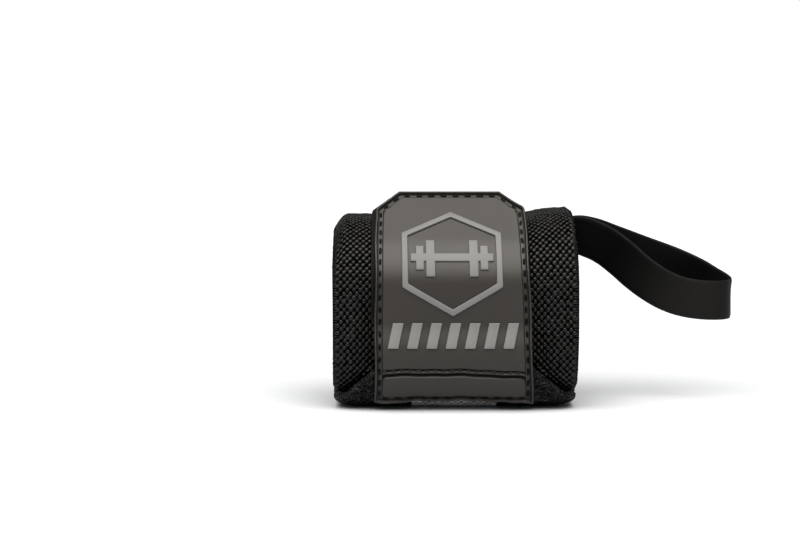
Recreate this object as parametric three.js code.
// A wrist wrap, rolled up, closed by its tab and lying on its side. Millimetres, +Z up.
// X runs along the axis of the roll, towards the thumb loop. The tab faces -Y.
// The origin is on the surface that the roll lies on, under the middle of its width.

import * as THREE from "three";
import { TessellateModifier } from "three/addons/modifiers/TessellateModifier.js";

// Elastic band
const bandWidth = 78;
const bandThickness = 2.2;
const turnGap = 0.3;

// Roll, measured over the outermost turn
const rollDepth = 52;
const rollHeight = 61.5;
const crownRise = 2.1; // the outer turn is lifted over the root of the thumb loop
const cornerDroop = 3.6; // the top corner that is away from the thumb loop sags
const cornerDroopWidth = 6;

// Where the lift and the sag act: over the top of the roll, as shares of its height, and over the root,
// as shares of half the band's width
const crownBand = { from: 0.62, to: 0.97 };
const crownAcross = { from: 0.45, to: 0.85 };

// Corners of the outermost turn: half axes of a quarter ellipse, as shares of the roll's depth and height
const corners = {
  frontBottom: { depth: 0.36, height: 0.455 },
  backBottom: { depth: 0.35, height: 0.325 },
  backTop: { depth: 0.21, height: 0.185 },
  frontTop: { depth: 0.55, height: 0.38 },
};
const cornerSteps = 18;

// Folded corners of the band's outer end
const foldStart = 10; // from the flat of the roll, along the outermost turn
const foldDepth = 16;
const foldTipCut = 0.6; // the folded point is pressed blunt
const foldRows = 6;
const flapStep = 0.3; // width of the step from a folded corner down to the band
const flapThickness = 1.6;

// Tab
const tabWidth = 50; // at its lower edge
const tabEndWidth = 47; // at its free end, before the corners are cut
const tabLength = 73.4;
const tabThickness = 1.8;
const tabChamfer = 7.4;
const tabFoot = 11.7; // from the flat of the roll up to the tab's lower edge, along the outermost turn
const tabRiseAngle = 44; // slope of the free end, in degrees
const tabShift = -0.2; // middle of the tab's lower edge, from the middle of the band
const tabLean = -1.2; // how far the middle of the free end lies from that
const seamPlace = 10.6; // cross seam, from the tab's lower edge
const seamHalfWidth = 0.7;
const seamDepth = 0.45;
const seamStations = [-1.4, -0.95, 0.95, 1.4]; // rows at the seam, in half widths from its middle
const tabRowStep = 2;
const tabColumns = [-0.66, -0.33, 0, 0.33, 0.66]; // across the tab's panel
const pieceGap = 0.3;

// Relief of the tab from its edge inwards: inset in millimetres, height as a share of the tab's thickness
const tabRelief = [
  { inset: 0, height: 0.78 },
  { inset: 0.35, height: 1 },
  { inset: 1.4, height: 1 },
  { inset: 1.7, height: 0.7 },
  { inset: 2.7, height: 0.7 },
  { inset: 3.1, height: 0.92 },
];

// Hook tape under the tab
const hookThickness = 0.8;
const hookProud = 0.6; // how far it stands out past the free end
const hookShift = -1.2; // sewn a little to one side
const hookStart = 26.3; // from the tab's lower edge
const hookColumns = [-1, -0.6, -0.2, 0.2, 0.6, 1];

// Thumb loop
const strapWidth = 12.7;
const strapThickness = 1.2;
const loopReach = 52; // from the band's edge to the tip
const loopDrop = 20.7;
const loopSpread = 19.5;
const rootLength = 20; // sewn stretch, along the band's end
const rootInset = 12; // sewn stretch, from the band's edge
const rootDrop = 5; // how far the sewn stretch lies below the strap where it leaves the roll
const strapCover = 3.4; // how far the strap stands past the band's inner end

// The loop's route outside the roll, from the far leg round the tip to the near leg.
// out is a share of the reach, drop of the drop, and forward of the spread, away from the sewn stretch.
const loopRoute = [
  { out: 0.03, drop: 0.0, forward: 0.2 },
  { out: 0.13, drop: 0.03, forward: 0.07 },
  { out: 0.285, drop: 0.17, forward: -0.09 },
  { out: 0.455, drop: 0.33, forward: -0.19 },
  { out: 0.67, drop: 0.53, forward: -0.19 },
  { out: 0.81, drop: 0.69, forward: -0.07 },
  { out: 0.9, drop: 0.82, forward: 0.09 },
  { out: 0.975, drop: 0.93, forward: 0.3 },
  { out: 0.995, drop: 0.985, forward: 0.46 },
  { out: 0.96, drop: 1.0, forward: 0.66 },
  { out: 0.88, drop: 1.0, forward: 0.78 },
  { out: 0.775, drop: 0.98, forward: 0.83 },
  { out: 0.67, drop: 0.93, forward: 0.8 },
  { out: 0.58, drop: 0.845, forward: 0.75 },
  { out: 0.49, drop: 0.715, forward: 0.67 },
  { out: 0.405, drop: 0.555, forward: 0.58 },
  { out: 0.32, drop: 0.365, forward: 0.49 },
  { out: 0.225, drop: 0.18, forward: 0.4 },
  { out: 0.14, drop: 0.07, forward: 0.34 },
  { out: 0.03, drop: 0.0, forward: 0.28 },
];
const loopSteps = 44;

// Raised emblem on the tab
const emblemRaise = 0.6;
const emblemGap = 0.2;
const emblemPlace = 45.8; // middle of the frame, from the tab's lower edge
const frameRadius = 18.1;
const frameLine = 1.9;
const barCount = 7;
const barPlace = 21.9; // middle of the row of bars, from the tab's lower edge
const barHeight = 7.4;
const barWidth = 3.4;
const barPitch = 6;
const barSlant = 1.8;
const emblemStep = 2.2; // longest edge of a face of the emblem, so that it follows the curved tab
const splitRounds = 12;

// Dumbbell inside the frame: it fills the frame across, less a clearance. The plates' places and half
// sizes, and the bar's half height, are shares of half its length.
const dumbbellClearance = 0.8;
const dumbbellParts = [
  { place: 0.52, halfWidth: 0.11, halfHeight: 0.46 },
  { place: 0.775, halfWidth: 0.097, halfHeight: 0.3 },
];
const dumbbellBar = 0.097;

const halfBand = bandWidth / 2;
const turnPitch = bandThickness + turnGap;

function smoothStep(from, to, value) {
  return THREE.MathUtils.smoothstep(value, from, to);
}

// The outermost turn as a closed outline in the YZ plane, with the distance from the front end of its flat.
// It runs backwards under the roll, up the back, over the top and down the front.
function rollOutline() {
  const front = -rollDepth / 2;
  const back = rollDepth / 2;
  const size = (corner) => [corner.depth * rollDepth, corner.height * rollHeight];
  const points = [];
  const addCorner = (corner, sideY, sideZ, startAngle) => {
    const [halfY, halfZ] = size(corner);
    const centreY = sideY < 0 ? front + halfY : back - halfY;
    const centreZ = sideZ < 0 ? halfZ : rollHeight - halfZ;
    for (let i = 0; i <= cornerSteps; i++) {
      const angle = startAngle + (Math.PI / 2) * (i / cornerSteps);
      const normal = new THREE.Vector2(Math.cos(angle) / halfY, Math.sin(angle) / halfZ).normalize();
      points.push({
        y: centreY + halfY * Math.cos(angle),
        z: centreZ + halfZ * Math.sin(angle),
        normal,
      });
    }
  };
  addCorner(corners.backBottom, 1, -1, -Math.PI / 2);
  addCorner(corners.backTop, 1, 1, 0);
  addCorner(corners.frontTop, -1, 1, Math.PI / 2);
  addCorner(corners.frontBottom, -1, -1, Math.PI);
  points.unshift(points[points.length - 1]);
  let distance = 0;
  return points.map((point, i) => {
    if (i > 0) {
      distance += Math.hypot(point.y - points[i - 1].y, point.z - points[i - 1].z);
    }
    return { ...point, distance };
  });
}

const outline = rollOutline();
const turnLength = outline[outline.length - 1].distance;
const flatLength = outline[1].distance;

// A point of the outline and its outward normal, at a distance of any sign from the front end of the flat
function outlineAt(distance) {
  const along = ((distance % turnLength) + turnLength) % turnLength;
  let i = 1;
  while (i < outline.length - 1 && outline[i].distance < along) {
    i++;
  }
  const from = outline[i - 1];
  const to = outline[i];
  const share = (along - from.distance) / (to.distance - from.distance);
  return {
    y: THREE.MathUtils.lerp(from.y, to.y, share),
    z: THREE.MathUtils.lerp(from.z, to.z, share),
    normal: from.normal.clone().lerp(to.normal, share).normalize(),
  };
}

// The roll isn't the same all along its width: one end is lifted over the loop's root, the other corner sags
function settle(x, y, z) {
  const top = smoothStep(rollHeight * crownBand.from, rollHeight * crownBand.to, z);
  const overRoot = smoothStep(halfBand * crownAcross.from, halfBand * crownAcross.to, x);
  const pastEdge = 1 - smoothStep(0, cornerDroopWidth, x + halfBand);
  return new THREE.Vector3(x, y, z + top * (crownRise * overRoot - cornerDroop * pastEdge ** 2));
}

// How far a turn of the band lies inside the outermost outline
const tipDistance = -(foldStart + foldDepth);
const stepMargin = 5; // the next turn is fully under the outermost one this far before the tip
const stepEnd = turnLength + tipDistance - stepMargin;
function turnInset(distance) {
  const turn = Math.max(0, Math.floor(distance / turnLength));
  const phase = distance - turn * turnLength;
  const share = THREE.MathUtils.clamp((phase - flatLength) / (stepEnd - flatLength), 0, 1);
  return turnPitch * (turn + share);
}

// A closed sheet with two skins: place(row, column, side) gives its points, with side 0 or 1
function closedSheet(rowCount, columnCount, place) {
  const points = [];
  for (const side of [0, 1]) {
    for (let row = 0; row < rowCount; row++) {
      for (let column = 0; column < columnCount; column++) {
        points.push(place(row, column, side));
      }
    }
  }
  const at = (side, row, column) => (side * rowCount + row) * columnCount + column;
  const faces = [];
  const quad = (a, b, c, d) => faces.push([a, b, c], [a, c, d]);
  for (let row = 0; row + 1 < rowCount; row++) {
    for (let column = 0; column + 1 < columnCount; column++) {
      quad(at(1, row, column), at(1, row, column + 1), at(1, row + 1, column + 1), at(1, row + 1, column));
      quad(at(0, row, column), at(0, row + 1, column), at(0, row + 1, column + 1), at(0, row, column + 1));
    }
    const last = columnCount - 1;
    quad(at(0, row, 0), at(1, row, 0), at(1, row + 1, 0), at(0, row + 1, 0));
    quad(at(1, row, last), at(0, row, last), at(0, row + 1, last), at(1, row + 1, last));
  }
  for (let column = 0; column + 1 < columnCount; column++) {
    const last = rowCount - 1;
    quad(at(1, 0, column), at(0, 0, column), at(0, 0, column + 1), at(1, 0, column + 1));
    quad(at(0, last, column), at(1, last, column), at(1, last, column + 1), at(0, last, column + 1));
  }
  const volume = faces.reduce((sum, [a, b, c]) => {
    return sum + points[a].dot(new THREE.Vector3().crossVectors(points[b], points[c]));
  }, 0);
  const index = faces.flatMap(([a, b, c]) => (volume > 0 ? [a, b, c] : [a, c, b]));
  const geometry = new THREE.BufferGeometry().setFromPoints(points);
  geometry.setIndex(index);
  geometry.computeVertexNormals();
  return geometry;
}

// Elastic band: a strip wound inwards from its folded outer end
function innerEndDistance(height) {
  const backTopStart = rollHeight * (1 - corners.backTop.height);
  const wallFoot = outline.find((point) => point.normal.x > 0.999).distance;
  const wallHeight = Math.min(height, backTopStart) - corners.backBottom.height * rollHeight;
  return turnLength + wallFoot + wallHeight + Math.max(0, height - backTopStart);
}

const exitPhase = outline.find((point) => point.normal.x > 0 && point.normal.y > 0.999).distance;
const ceiling = rollHeight + crownRise - turnInset(exitPhase) - bandThickness;
const exitHeight = ceiling - pieceGap - strapWidth / 2;
const rootHeight = exitHeight - rootDrop;
const bandEnd = innerEndDistance(rootHeight + strapWidth / 2 - strapCover);
const bandStep = 5.2;

function bandRows() {
  const foldLine = -foldStart;
  const foldEnd = foldLine + flapStep;
  const rows = [];
  const tip = tipDistance + foldTipCut;
  for (let i = 0; i < foldRows; i++) {
    const distance = THREE.MathUtils.lerp(tip, foldLine, i / (foldRows - 1));
    rows.push({ distance, halfWidth: halfBand - (foldLine - distance), flap: flapThickness });
  }
  rows.push({ distance: foldEnd, halfWidth: halfBand, flap: 0 });
  const rest = Math.ceil((bandEnd - foldEnd) / bandStep);
  for (let i = 1; i <= rest; i++) {
    rows.push({ distance: THREE.MathUtils.lerp(foldEnd, bandEnd, i / rest), halfWidth: halfBand, flap: 0 });
  }
  return rows;
}

function elasticBand() {
  const rows = bandRows();
  const flapInner = halfBand - foldDepth;
  // Columns from an edge to the middle of the band: shares of the stretch that the folded corner covers,
  // with its step down to the band, and then shares of what is left
  const flapShares = [1, 0.85, 0.6];
  const middleShares = [1, 0.5];
  const perSide = flapShares.length + 1 + middleShares.length;
  const place = (rowIndex, column, side) => {
    const row = rows[rowIndex];
    const mirrored = column >= perSide;
    const step = mirrored ? 2 * perSide - 1 - column : column;
    const beyond = row.halfWidth - flapInner;
    const stations = [
      ...flapShares.map((share) => flapInner + beyond * share),
      flapInner + Math.min(flapStep, beyond / 3),
      ...middleShares.map((share) => flapInner * share),
    ];
    const x = stations[step] * (mirrored ? 1 : -1);
    const onFlap = step <= flapShares.length;
    const inset = turnInset(row.distance);
    const out = side === 1 ? (onFlap ? row.flap : 0) - inset : -inset - bandThickness;
    const at = outlineAt(row.distance);
    return settle(x, at.y + at.normal.x * out, at.z + at.normal.y * out);
  };
  return closedSheet(rows.length, 2 * perSide, place);
}

// The surface that the tab lies on, at a distance from the tab's lower edge
const leaveSlope = Math.tan(THREE.MathUtils.degToRad(tabRiseAngle));
const leaveStep = 0.25;
function leavePlace() {
  let place = tabLength;
  for (let s = tabLength; s > hookStart; s -= leaveStep) {
    const { normal } = outlineAt(-(tabFoot + s));
    if (normal.y > 0 && Math.abs(normal.x / normal.y) < leaveSlope) {
      place = s;
    }
  }
  return place;
}
const tabLeaves = leavePlace();

function tabFrame(s, gapUnder) {
  const follows = Math.min(s, tabLeaves);
  const at = outlineAt(-(tabFoot + follows));
  const overFlap = flapThickness + pieceGap;
  const overTurn = -turnInset(turnLength - tabFoot - follows) + gapUnder;
  const flapEnd = foldStart + foldDepth - tabFoot;
  const out = THREE.MathUtils.lerp(overFlap, overTurn, smoothStep(flapEnd, hookStart, follows));
  const past = s - follows;
  return {
    y: at.y + at.normal.x * out + at.normal.y * past,
    z: at.z + at.normal.y * out - at.normal.x * past,
    normal: at.normal,
  };
}

const tabOnTurn = pieceGap + hookThickness + pieceGap;
function tabPoint(x, s, height) {
  const at = tabFrame(s, tabOnTurn);
  const centre = tabShift + tabLean * (s / tabLength);
  return settle(centre + x, at.y + at.normal.x * height, at.z + at.normal.y * height);
}

function tabSide(s) {
  return THREE.MathUtils.lerp(tabWidth, tabEndWidth, s / tabLength) / 2;
}

function tabHalfWidth(s) {
  return tabSide(s) - Math.max(0, s - (tabLength - tabChamfer));
}

function tabHeight(x, s) {
  const side = tabSide(s) - Math.abs(x);
  const end = tabLength - s;
  const edge = Math.min(side, s, end, (side + end - tabChamfer) / Math.SQRT2);
  let share = tabRelief[tabRelief.length - 1].height;
  for (let i = tabRelief.length - 1; i > 0; i--) {
    const from = tabRelief[i - 1];
    const to = tabRelief[i];
    if (edge < to.inset) {
      const along = Math.max(0, (edge - from.inset) / (to.inset - from.inset));
      share = THREE.MathUtils.lerp(from.height, to.height, along);
    }
  }
  const seam = Math.abs(s - seamPlace) < seamHalfWidth && side > tabRelief[1].inset ? seamDepth : 0;
  return tabThickness * share - seam;
}

function tabStations() {
  const insets = tabRelief.map((row) => row.inset);
  const lower = [...insets];
  const seam = seamStations.map((k) => seamPlace + k * seamHalfWidth);
  const upper = insets.map((inset) => tabLength - inset).reverse();
  const chamferFoot = tabLength - tabChamfer;
  const middle = [];
  const from = seam[seam.length - 1];
  const count = Math.ceil((chamferFoot - from) / tabRowStep);
  for (let i = 1; i <= count; i++) {
    middle.push(THREE.MathUtils.lerp(from, chamferFoot, i / count));
  }
  const onChamfer = THREE.MathUtils.lerp(chamferFoot, upper[0], 1 / 3);
  return [...lower, ...seam, ...middle, onChamfer, ...upper];
}

function tabFace() {
  const rows = tabStations();
  const insets = tabRelief.map((row) => row.inset);
  const columnCount = 2 * insets.length + tabColumns.length;
  const place = (row, column, side) => {
    const s = rows[row];
    const extent = tabHalfWidth(s);
    const inner = extent - insets[insets.length - 1];
    let x = 0;
    if (column < insets.length) {
      x = insets[column] - extent;
    } else if (column < insets.length + tabColumns.length) {
      x = tabColumns[column - insets.length] * inner;
    } else {
      x = extent - insets[columnCount - 1 - column];
    }
    return tabPoint(x, s, side === 1 ? tabHeight(x, s) : 0);
  };
  return closedSheet(rows.length, columnCount, place);
}

function hookBacking() {
  const length = tabLength + hookProud - hookStart;
  const count = Math.ceil(length / tabRowStep);
  const place = (row, column, side) => {
    const s = hookStart + (length * row) / (count - 1);
    const extent = tabSide(s) - Math.max(0, s - (tabLength + hookProud - tabChamfer));
    const at = tabFrame(s, pieceGap);
    const centre = tabShift + hookShift + tabLean * (s / tabLength);
    const height = side * hookThickness;
    return settle(
      centre + hookColumns[column] * extent,
      at.y + at.normal.x * height,
      at.z + at.normal.y * height,
    );
  };
  return closedSheet(count, hookColumns.length, place);
}

// Thumb loop: a flat strap swept along its route, its width held upright
function loopPath() {
  const wall = rollDepth / 2 - turnInset(bandEnd) - bandThickness;
  const far = wall - pieceGap - strapThickness / 2;
  const near = far - strapThickness - pieceGap;
  const edge = halfBand;
  const sewn = (y) => {
    const outer = edge - rootInset;
    return [outer - rootLength, outer - rootLength / 2, outer].map((x) => new THREE.Vector3(x, y, rootHeight));
  };
  const outside = loopRoute.map(
    (row) =>
      new THREE.Vector3(
        edge + row.out * loopReach,
        far - row.forward * loopSpread,
        exitHeight - row.drop * loopDrop,
      ),
  );
  return new THREE.CatmullRomCurve3([...sewn(far), ...outside, ...sewn(near).reverse()], false, "centripetal");
}

function thumbLoop() {
  const path = loopPath();
  const place = (row, column, side) => {
    const at = row / loopSteps;
    const point = path.getPointAt(at);
    const tangent = path.getTangentAt(at);
    const upright = new THREE.Vector3(0, 0, 1).addScaledVector(tangent, -tangent.z).normalize();
    const outward = new THREE.Vector3().crossVectors(tangent, upright);
    return point
      .clone()
      .addScaledVector(upright, (column - 0.5) * strapWidth)
      .addScaledVector(outward, (side - 0.5) * strapThickness);
  };
  return closedSheet(loopSteps + 1, 2, place);
}

// Emblem: flat shapes drawn on the tab, x across it and y up it, raised off its face
function raisedShape(shape) {
  const extruded = new THREE.ExtrudeGeometry(shape, { depth: emblemRaise, bevelEnabled: false, steps: 1 });
  const flat = new TessellateModifier(emblemStep, splitRounds).modify(extruded);
  const position = flat.getAttribute("position");
  const panel = tabThickness * tabRelief[tabRelief.length - 1].height;
  for (let i = 0; i < position.count; i++) {
    const lift = panel + emblemGap + position.getZ(i);
    const point = tabPoint(position.getX(i), position.getY(i), lift);
    position.setXYZ(i, point.x, point.y, point.z);
  }
  flat.computeVertexNormals();
  return flat;
}

const frameSides = 6;
const sideShare = Math.cos(Math.PI / frameSides); // a side's distance from the middle, as a share of the radius

function framePoints(radius) {
  return Array.from({ length: frameSides }, (_, i) => {
    const angle = (i / frameSides) * 2 * Math.PI + Math.PI / 2;
    return new THREE.Vector2(radius * Math.cos(angle), emblemPlace + radius * Math.sin(angle));
  });
}

function emblemFrame() {
  const shape = new THREE.Shape(framePoints(frameRadius));
  shape.holes.push(new THREE.Path(framePoints(frameRadius - frameLine / sideShare).reverse()));
  return raisedShape(shape);
}

function emblemDumbbell() {
  const half = frameRadius * sideShare - frameLine - dumbbellClearance;
  const rightTop = [];
  for (const { place, halfWidth, halfHeight } of dumbbellParts) {
    rightTop.push(
      [place - halfWidth, dumbbellBar],
      [place - halfWidth, halfHeight],
      [place + halfWidth, halfHeight],
      [place + halfWidth, dumbbellBar],
    );
  }
  rightTop.push([1, dumbbellBar]);
  const mirrorX = ([x, y]) => [-x, y];
  const mirrorY = ([x, y]) => [x, -y];
  const rightBottom = rightTop.map(mirrorY).reverse();
  const leftBottom = rightBottom.map(mirrorX).reverse();
  const leftTop = rightTop.map(mirrorX).reverse();
  const ring = [...rightTop, ...rightBottom, ...leftBottom, ...leftTop];
  return raisedShape(new THREE.Shape(ring.map(([x, y]) => new THREE.Vector2(half * x, emblemPlace + half * y))));
}

function emblemBar(number) {
  const middle = (number - (barCount + 1) / 2) * barPitch;
  const corner = (side, end) =>
    new THREE.Vector2(middle + (side * barWidth) / 2 + (end * barSlant) / 2, barPlace + (end * barHeight) / 2);
  return raisedShape(new THREE.Shape([corner(-1, -1), corner(1, -1), corner(1, 1), corner(-1, 1)]));
}

function finish(color, roughness) {
  return new THREE.MeshStandardMaterial({ color, roughness, metalness: 0 });
}

const elasticFinish = { color: 0x232325, roughness: 0.9 };
const rubberFinish = { color: 0x4f4e4d, roughness: 0.55 };
const hookFinish = { color: 0x141415, roughness: 0.95 };
const strapFinish = { color: 0x17171a, roughness: 0.8 };
const emblemFinish = { color: 0x8d8d8f, roughness: 0.5 };

const wristWrap = new THREE.Group();
function add(name, geometry, look) {
  const mesh = new THREE.Mesh(geometry, finish(look.color, look.roughness));
  mesh.name = name;
  wristWrap.add(mesh);
}

add("elastic_band", elasticBand(), elasticFinish);
add("tab_face", tabFace(), rubberFinish);
add("hook_backing", hookBacking(), hookFinish);
add("thumb_loop", thumbLoop(), strapFinish);
add("emblem_frame", emblemFrame(), emblemFinish);
add("emblem_dumbbell", emblemDumbbell(), emblemFinish);
for (let number = 1; number <= barCount; number++) {
  add(`emblem_bar_${number}`, emblemBar(number), emblemFinish);
}

export default wristWrap;
